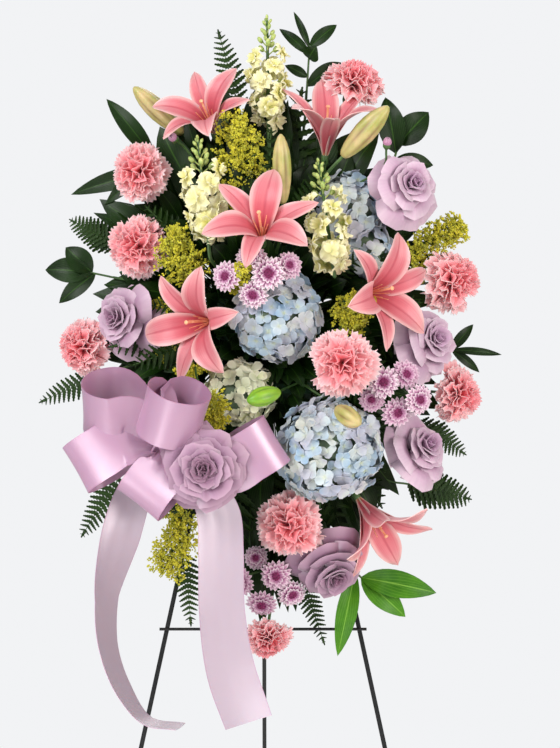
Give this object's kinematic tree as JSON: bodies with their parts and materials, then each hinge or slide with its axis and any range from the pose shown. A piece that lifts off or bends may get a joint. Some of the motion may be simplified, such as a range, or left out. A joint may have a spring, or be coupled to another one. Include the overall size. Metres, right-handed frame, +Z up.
{
  "type": "standing funeral spray",
  "caption": "Oval standing spray of lilies, roses, carnations, hydrangeas and greens in foam, with a ribbon bow, hung on a folding three-legged wire easel.",
  "frame": {"origin": "on the floor, under the middle of the whole standing spray's box", "axes": "+Z up, -Y towards the viewer, the side that the flowers face, +X to the viewer's right"},
  "size_m": [0.5866, 0.6826, 1.542],
  "materials": {
    "easel_wire": "satin",
    "foam_tray": "satin",
    "floral_foam": "matte",
    "bow_pick": "matte",
    "ribbon": "satin",
    "lily_petal": "matte",
    "lily_bud": "matte",
    "rose_petal": "matte",
    "carnation_petal": "matte",
    "hydrangea_floret": "matte",
    "stock_floret": "matte",
    "mum_petal": "matte",
    "goldenrod": "matte",
    "fern": "satin",
    "leaf": "satin"
  },
  "bodies": {
    "root": {"easel_leg_left": "easel_wire", "easel_leg_right": "easel_wire", "easel_top_wire": "easel_wire", "easel_hanger_wire": "easel_wire", "easel_cross_wire": "easel_wire", "foam_tray": "foam_tray", "floral_foam": "floral_foam", "bow_pick": "bow_pick", "ribbon_bow": "ribbon", "lily_upper_left": "lily_petal", "lily_top": "lily_petal", "lily_centre": "lily_petal", "lily_right": "lily_petal", "lily_left": "lily_petal", "lily_low": "lily_petal", "lily_bud_upper_left": "lily_bud", "lily_bud_top": "lily_bud", "lily_bud_centre": "lily_bud", "lily_buds_low": "lily_bud", "rose_upper_right": "rose_petal", "rose_left": "rose_petal", "rose_right": "rose_petal", "rose_low_right": "rose_petal", "rose_bottom": "rose_petal", "rose_bow": "rose_petal", "carnation_top": "carnation_petal", "carnation_upper_left": "carnation_petal", "carnation_mid_left": "carnation_petal", "carnation_low_left": "carnation_petal", "carnation_centre": "carnation_petal", "carnation_right": "carnation_petal", "carnation_low_right": "carnation_petal", "carnation_low": "carnation_petal", "carnation_bottom": "carnation_petal", "hydrangea_top": "hydrangea_floret", "hydrangea_centre": "hydrangea_floret", "hydrangea_cream": "hydrangea_floret", "hydrangea_low": "hydrangea_floret", "stock_top": "stock_floret", "stock_left": "stock_floret", "stock_right": "stock_floret", "mums_centre": "mum_petal", "mums_right": "mum_petal", "mums_low": "mum_petal", "goldenrod_top": "goldenrod", "goldenrod_left": "goldenrod", "goldenrod_low": "goldenrod", "goldenrod_right": "goldenrod", "goldenrod_centre": "goldenrod", "fern_top_left": "fern", "ferns_left": "fern", "ferns_bottom": "fern", "ferns_right": "fern", "ruscus_top": "leaf", "foliage_upper_left": "leaf", "salal_left": "leaf", "salal_upper_right": "leaf", "foliage_right": "leaf", "lily_leaves_low": "leaf"},
    "rear_leg": {"easel_rear_leg": "easel_wire"}
  },
  "joints": [
    {"name": "rear_leg_fold", "type": "hinge", "parent": "root", "child": "rear_leg", "pos_m": [-0.00473, -0.04688, 1.25383], "axis": [1, 0, 0], "range_deg": [-25, 0]}
  ]
}
